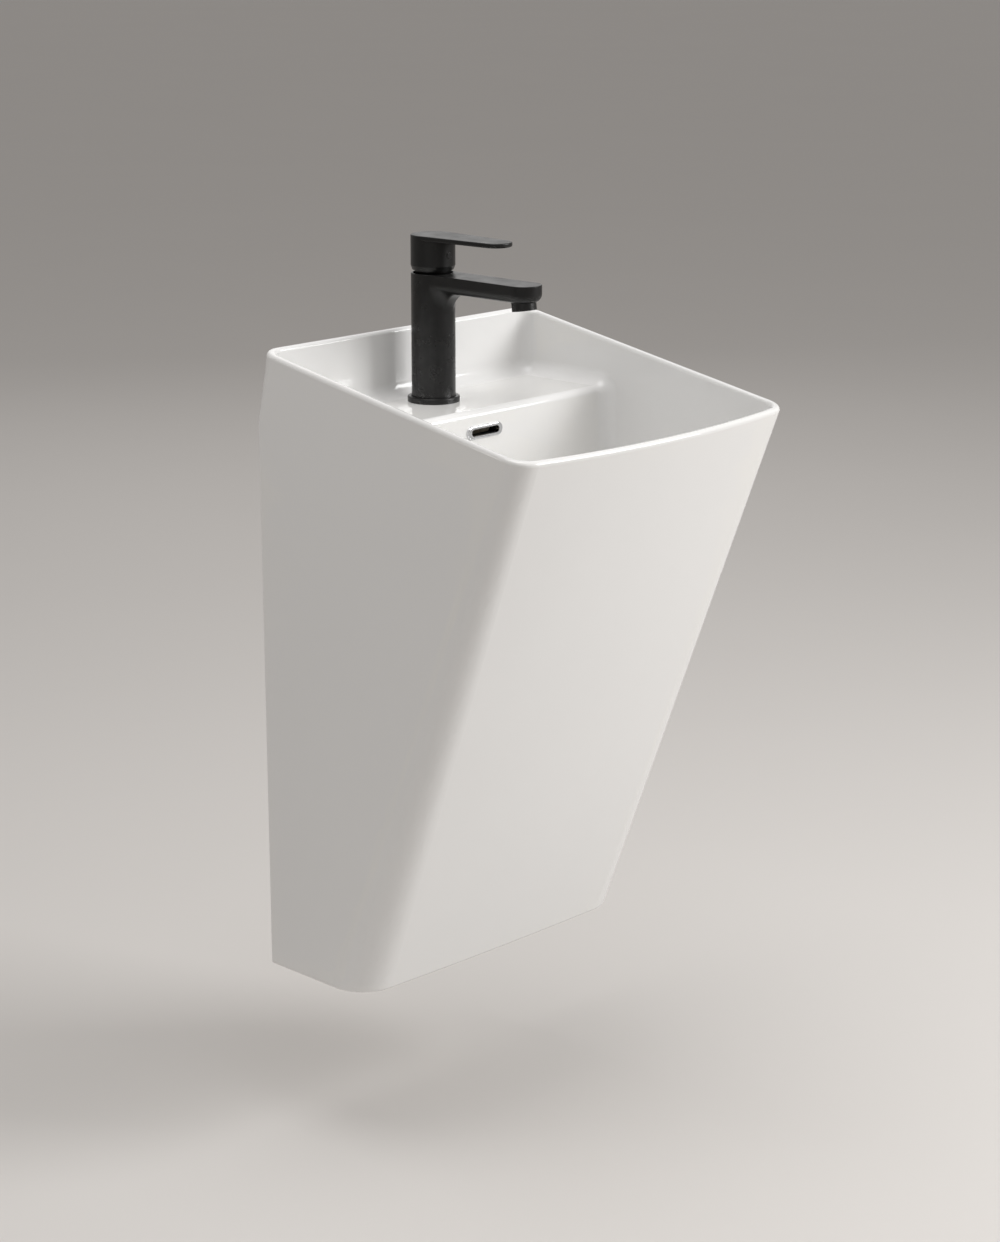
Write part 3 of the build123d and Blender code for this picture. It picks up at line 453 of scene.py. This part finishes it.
def chrome_material():
    """Bright plating with dried drops and a trace of handling."""
    colours, finish = settings()[:2]
    material, tree, shader = start_material("Chrome plate")
    haze = effect(tree, "Mottle", Scale=60.0, Low=0.0, High=0.5)
    plate = blend_colours(tree, haze, tuple(colours.chrome), tinted(colours.chrome, 0.9))
    tree.links.new(plate, shader.inputs["Base Color"])
    low, high = finish.chrome_gloss, 2.2 * finish.chrome_gloss
    smooth = effect(tree, "Mottle", Scale=35.0, Low=low, High=high)
    marks = effect(tree, "Dried drops", Scale=240.0, Amount=0.18)
    tree.links.new(math_node(tree, "ADD", smooth, marks), shader.inputs["Roughness"])
    waves = effect(tree, "Ripple", Fine=300.0, Coarse=60.0, Share=0.4)
    bump(tree, shader, waves, 0.00002)
    shader.inputs["Metallic"].default_value = 1.0
    return material


def overflow_material():
    """The same plating on the overflow's flange, with painted shade inside its sleeve: near-black colour
    there, and the plating dulled.
    """
    material = chrome_material()
    material.name = "Overflow plate"
    tree = material.node_tree
    shader = tree.nodes["Principled BSDF"]
    depth = parts_of(tree, place_of(tree))["Y"]
    # Painted shade: behind the bowl's wall the sleeve is coloured near-black, standing in for the shade
    # deep in the overflow, and made rougher there
    sleeve_shade = span(tree, depth, -DECK_FRONT - 0.5 * MM, -DECK_FRONT + 2.5 * MM)
    clean = shader.inputs["Base Color"].links[0].from_socket
    tree.links.new(blend_colours(tree, sleeve_shade, clean, SLEEVE_PAINTED_SHADE), shader.inputs["Base Color"])
    smooth = shader.inputs["Roughness"].links[0].from_socket
    dulled = math_node(tree, "MULTIPLY_ADD", sleeve_shade, 0.5, smooth)
    tree.links.new(dulled, shader.inputs["Roughness"])
    return material


def turned_metal(name, bright, dull, rough, tarnish, axis):
    """Turned metal: tool marks across its axis and darker patches where it has aged."""
    material, tree, shader = start_material(name)
    aged = effect(tree, "Mottle", Scale=70.0, Low=0.0, High=tarnish)
    worn = effect(tree, "Edge rub", Reach=0.08, Break_up=150.0)
    body = blend_colours(tree, aged, tuple(bright), tuple(dull))
    body = blend_colours(tree, worn, body, tuple(bright))
    tree.links.new(body, shader.inputs["Base Color"])
    smooth = effect(tree, "Mottle", Scale=50.0, Low=rough, High=1.5 * rough)
    tree.links.new(math_node(tree, "MULTIPLY_ADD", aged, 0.2, smooth), shader.inputs["Roughness"])
    x, y, z = axis
    marks = effect(tree, "Tool marks", Lines=2600.0, Along_X=x, Along_Y=y, Along_Z=z)
    bump(tree, shader, marks, 0.00003)
    shader.inputs["Metallic"].default_value = 1.0
    return material


def soft_material(name, body, rough, grain, depth, dust_amount):
    """Moulded rubber or plastic: a fine grain, a slight mottle and settled dust."""
    material, tree, shader = start_material(name)
    cloud = effect(tree, "Mottle", Scale=80.0, Low=0.0, High=0.6)
    dust = effect(tree, "Settled dust", Amount=dust_amount, Scale=60.0)
    shade = blend_colours(tree, cloud, tuple(body), tinted(body, 1.25, 0.004))
    shade = blend_colours(tree, dust, shade, DUST_COLOUR)
    tree.links.new(shade, shader.inputs["Base Color"])
    matt = effect(tree, "Mottle", Scale=90.0, Low=rough, High=min(1.0, rough + 0.12))
    tree.links.new(matt, shader.inputs["Roughness"])
    skin = effect(tree, "Ripple", Fine=grain, Coarse=grain / 9, Share=0.7)
    bump(tree, shader, skin, depth)
    return material


def brass_material():
    """Turned brass, darkened in patches."""
    colours = settings()[0]
    return turned_metal("Turned brass", colours.brass, colours.brass_dull, 0.22, 0.55, (0, 0, 1))


def copper_material():
    """Drawn copper tube, darkened in patches."""
    colours = settings()[0]
    return turned_metal("Drawn copper", colours.copper, colours.copper_dull, 0.24, 0.7, (0.05, 0.05, 0.4))


def steel_material():
    """Zinc-plated steel, dulled in patches."""
    colours = settings()[0]
    dull = tinted(colours.steel, 0.62)
    return turned_metal("Zinc-plated steel", colours.steel, dull, 0.30, 0.5, (0, 0, 1))


def rubber_material():
    """Matt black rubber of the seals and washers."""
    return soft_material("Seal rubber", settings()[0].rubber, 0.72, 1800.0, 0.00006, 0.25)


def plastic_material():
    """Grey plastic of the cartridge, its spindle and the aerator's grid."""
    return soft_material("Grey plastic", settings()[0].plastic, 0.42, 1200.0, 0.00003, 0.12)


def nylon_material():
    """White nylon of the wall bushes."""
    return soft_material("White nylon", settings()[0].nylon, 0.38, 700.0, 0.00004, 0.18)


MATERIALS = {
    "glaze": ("Glazed ceramic", glaze_material),
    "black_coat": ("Black powder coat", coat_material),
    "chrome": ("Chrome plate", chrome_material),
    "brass": ("Turned brass", brass_material),
    "copper": ("Drawn copper", copper_material),
    "steel": ("Zinc-plated steel", steel_material),
    "rubber": ("Seal rubber", rubber_material),
    "grey_plastic": ("Grey plastic", plastic_material),
    "white_nylon": ("White nylon", nylon_material),
}


def material_for(slot):
    """The finish of one of the record's material slots, made once."""
    name, make = MATERIALS[slot]
    return bpy.data.materials.get(name) or make()


def slot_of(node):
    """The record's material slot of a CAD node."""
    parts = {part["node"]: part["material_slot"] for part in frame["record"]["subparts"]}
    return parts[node]


def dress(*names, material=None):
    """Gives each CAD node the finish that the record names for it, or this one."""
    for name in names:
        piece = frame["nodes"][name]
        piece.data.materials.clear()
        piece.data.materials.append(material or material_for(slot_of(name)))


# Mesh pieces


def add_piece(name, mesh_data, slot, body):
    """Makes an object from a bmesh, gives it its finish and rides it on a body."""
    mesh = bpy.data.meshes.new(name)
    mesh_data.to_mesh(mesh)
    mesh_data.free()
    for face in mesh.polygons:
        face.use_smooth = True
    piece = bpy.data.objects.new(name, mesh)
    bpy.context.scene.collection.objects.link(piece)
    mesh.materials.append(material_for(slot))
    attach(piece, body)
    return piece


def thread_mesh(radius, crest, pitch, reach, place):
    """A helical ridge of triangular section on a cylinder of this radius, from 0 to reach."""
    turns = reach / pitch - 1
    half = 0.45 * pitch
    root = -0.2 * crest
    rings = []
    data = bmesh.new()
    for step in range(int(turns * STEPS_PER_TURN) + 1):
        turn = step / STEPS_PER_TURN
        height = pitch * (turn + 0.5)
        # The crest rises and runs out over a quarter turn at each end
        rise = crest * min(1.0, 4 * turn, 4 * (turns - turn))
        ring = []
        for along, out in ((-half, root), (0, rise), (half, root)):
            far = radius + out
            spot = Vector((far * cos(2 * pi * turn), far * sin(2 * pi * turn), height + along))
            ring.append(data.verts.new(place @ spot))
        rings.append(ring)
    for first, second in zip(rings, rings[1:]):
        for side in range(3):
            after = (side + 1) % 3
            data.faces.new((first[side], first[after], second[after], second[side]))
    data.faces.new(reversed(rings[0]))
    data.faces.new(rings[-1])
    bmesh.ops.recalc_face_normals(data, faces=data.faces)
    return data


# Operators, one for each group of pieces


class WASHBASIN_OT_basin(bpy.types.Operator):
    """Glazes the basin and finishes its wall bushes"""
    bl_idname = "washbasin.basin"
    bl_label = "Basin"

    def execute(self, context):
        dress("basin_body", "wall_fixing_bushes")
        return {"FINISHED"}


class WASHBASIN_OT_overflow(bpy.types.Operator):
    """Plates the overflow ring"""
    bl_idname = "washbasin.overflow"
    bl_label = "Overflow"

    def execute(self, context):
        dress("overflow_ring", material=overflow_material())
        return {"FINISHED"}


class WASHBASIN_OT_tap(bpy.types.Operator):
    """Coats the tap's casting, its foot ring, its shroud and its outlet"""
    bl_idname = "washbasin.tap"
    bl_label = "Tap"

    def execute(self, context):
        dress("tap_body", "tap_base_ring", "tap_base_seal", "tap_collar")
        dress("aerator_housing", "aerator_insert", "aerator_washer")
        return {"FINISHED"}


class WASHBASIN_OT_handle(bpy.types.Operator):
    """Coats the handle and finishes what turns and tilts with it"""
    bl_idname = "washbasin.handle"
    bl_label = "Handle"

    def execute(self, context):
        dress("lever_handle", "handle_index_plug", "handle_grub_screw", "lever_stem")
        dress("cartridge_spindle", "spindle_pin", "cartridge_body", "cartridge_nut")
        return {"FINISHED"}


class WASHBASIN_OT_tap_fixing(bpy.types.Operator):
    """Finishes the tap's clamp and cuts the thread of its stud"""
    bl_idname = "washbasin.tap_fixing"
    bl_label = "Tap fixing"

    def execute(self, context):
        dress("tap_stud", "horseshoe_rubber", "horseshoe_plate", "stud_nut")
        threads = settings()[2]
        low, high = box_of("tap_stud")
        plate_low = box_of("horseshoe_plate")[0]
        radius = (high.x - low.x) / 2
        middle = (low + high) / 2
        place = Matrix.Translation((middle.x, middle.y, low.z))
        reach = plate_low.z - low.z
        data = thread_mesh(radius, STUD_CREST, threads.stud_pitch, reach, place)
        add_piece("stud_thread", data, "steel", "basin")
        return {"FINISHED"}


SUPPLY_PARTS = ("supply_tail", "valve_body", "valve_olive", "valve_nut", "valve_spindle", "valve_knob")


class WASHBASIN_OT_supplies(bpy.types.Operator):
    """Finishes the copper tails and the angle valves and cuts the valves' inlet threads"""
    bl_idname = "washbasin.supplies"
    bl_label = "Supplies"

    def execute(self, context):
        threads = settings()[2]
        for side in ("hot", "cold"):
            for part in SUPPLY_PARTS:
                dress(side + "_" + part)
            mount = next(m for m in frame["record"]["mounts"] if m["name"] == side + "_inlet")
            reach = mount["dims"]["length_mm"] * MM
            radius = mount["dims"]["r_mm"] * MM
            x, y, z = mount["pos_m"]
            turn = Matrix.Rotation(pi / 2, 4, "X")
            place = Matrix.Translation((x, y + reach / 2, z)) @ turn
            data = thread_mesh(radius, PIPE_CREST, threads.pipe_pitch, reach, place)
            add_piece(side + "_inlet_thread", data, "chrome", "basin")
        dress("valve_packing_nuts")
        return {"FINISHED"}


class WASHBASIN_OT_waste(bpy.types.Operator):
    """Finishes the click waste and its plug and cuts the waste's thread"""
    bl_idname = "washbasin.waste"
    bl_label = "Waste"

    def execute(self, context):
        dress("waste_body", "waste_flange_seal", "waste_under_seal", "waste_backnut")
        dress("plug_housing", "plug_stem", "plug_cap", "plug_seal")
        threads = settings()[2]
        low, high = box_of("waste_body")
        middle = (low + high) / 2
        washer_low, washer_high = box_of("trap_inlet_washer")
        # The washer is 1 mm smaller all round than the waste
        radius = (washer_high.x - washer_low.x) / 2 + 1 * MM
        # The thread shows between the two nuts and runs a little way into each
        start = box_of("trap_inlet_nut")[1].z - 2 * MM
        end = box_of("waste_backnut")[0].z + 1 * MM
        place = Matrix.Translation((middle.x, middle.y, start))
        data = thread_mesh(radius, WASTE_CREST, threads.waste_pitch, end - start, place)
        add_piece("waste_thread", data, "chrome", "basin")
        return {"FINISHED"}


class WASHBASIN_OT_trap(bpy.types.Operator):
    """Plates the bottle trap and its outlet"""
    bl_idname = "washbasin.trap"
    bl_label = "Trap"

    def execute(self, context):
        dress("trap_inlet_nut", "trap_inlet_washer", "trap_tailpipe", "trap_neck_nut", "trap_neck_washer")
        dress("trap_body", "trap_cup", "trap_cup_seal")
        dress("trap_outlet_nut", "trap_outlet_washer", "outlet_pipe")
        return {"FINISHED"}


def floor_material():
    """Matt pale floor with a faint cloud."""
    colours = settings()[0]
    material, tree, shader = start_material("Studio floor")
    cloud = effect(tree, "Mottle", Scale=1.5, Low=0.0, High=0.3)
    shade = blend_colours(tree, cloud, tuple(colours.floor), tinted(colours.floor, 0.97))
    tree.links.new(shade, shader.inputs["Base Color"])
    shader.inputs["Roughness"].default_value = 0.9
    return material


def soft_light(name, watts, size, spot, aim):
    """A square soft light at spot, turned to aim."""
    lamp = bpy.data.lights.new(name, "AREA")
    lamp.energy = watts
    lamp.shape = "SQUARE"
    lamp.size = size
    light = bpy.data.objects.new(name, lamp)
    bpy.context.scene.collection.objects.link(light)
    light.location = spot
    light.rotation_euler = (aim - spot).to_track_quat("-Z", "Y").to_euler()


class WASHBASIN_OT_stage(bpy.types.Operator):
    """Lays the pale floor and sets the soft lights and the camera"""
    bl_idname = "washbasin.stage"
    bl_label = "Studio"

    def execute(self, context):
        stage = settings()[3]
        data = bmesh.new()
        bmesh.ops.create_grid(data, x_segments=8, y_segments=8, size=FLOOR_HALF)
        mesh = bpy.data.meshes.new("studio_floor")
        data.to_mesh(mesh)
        data.free()
        mesh.materials.append(floor_material())
        floor = bpy.data.objects.new("studio_floor", mesh)
        floor.location = (0, 0, -stage.floor_drop)
        context.scene.collection.objects.link(floor)

        aim = Vector((-stage.aim_side, -stage.aim_depth, -stage.aim_drop))
        for name, size, spot in LIGHTS:
            soft_light(name + "_light", getattr(stage, name + "_power"), size, Vector(spot), aim)

        world = bpy.data.worlds.new("Studio air")
        world.use_nodes = True
        air = world.node_tree.nodes["Background"]
        air.inputs["Color"].default_value = AIR_COLOUR
        air.inputs["Strength"].default_value = stage.air
        context.scene.world = world
        context.scene.view_settings.view_transform = "Standard"

        view = bpy.data.cameras.new("camera")
        view.lens = stage.lens
        view.clip_end = 200
        camera = bpy.data.objects.new("camera", view)
        away = Vector((-sin(stage.azimuth), -cos(stage.azimuth), 0)) * cos(stage.elevation)
        away.z = sin(stage.elevation)
        camera.location = aim + away * stage.distance
        camera.rotation_euler = (pi / 2 - stage.elevation, 0, -stage.azimuth)
        context.scene.collection.objects.link(camera)
        context.scene.camera = camera
        return {"FINISHED"}


class WASHBASIN_PT_panel(bpy.types.Panel):
    """Lists the washbasin's steps and settings"""
    bl_idname = "WASHBASIN_PT_panel"
    bl_label = "Washbasin"
    bl_space_type = "VIEW_3D"
    bl_region_type = "UI"
    bl_category = "Washbasin"

    def draw(self, context):
        column = self.layout.column()
        for step in STEPS:
            column.operator(step.bl_idname)
        for group in settings():
            for name in type(group).__annotations__:
                column.prop(group, name)


STEPS = (
    WASHBASIN_OT_stage,
    WASHBASIN_OT_basin,
    WASHBASIN_OT_overflow,
    WASHBASIN_OT_tap,
    WASHBASIN_OT_handle,
    WASHBASIN_OT_tap_fixing,
    WASHBASIN_OT_supplies,
    WASHBASIN_OT_waste,
    WASHBASIN_OT_trap,
)
GROUPS = {
    "basin_colours": WashbasinColours,
    "basin_finish": WashbasinFinish,
    "basin_threads": WashbasinThreads,
    "basin_stage": WashbasinStage,
}


def register():
    for group in GROUPS.values():
        bpy.utils.register_class(group)
    for name, group in GROUPS.items():
        setattr(bpy.types.Scene, name, PointerProperty(type=group))
    for step in STEPS:
        bpy.utils.register_class(step)
    bpy.utils.register_class(WASHBASIN_PT_panel)


def unregister():
    bpy.utils.unregister_class(WASHBASIN_PT_panel)
    for step in reversed(STEPS):
        bpy.utils.unregister_class(step)
    for name, group in GROUPS.items():
        delattr(bpy.types.Scene, name)
        bpy.utils.unregister_class(group)


def main():
    register()
    bpy.ops.washbasin.stage()
    bpy.ops.washbasin.basin()
    bpy.ops.washbasin.overflow()
    bpy.ops.washbasin.tap()
    bpy.ops.washbasin.handle()
    bpy.ops.washbasin.tap_fixing()
    bpy.ops.washbasin.supplies()
    bpy.ops.washbasin.waste()
    bpy.ops.washbasin.trap()


if __name__ == "__main__":
    main()
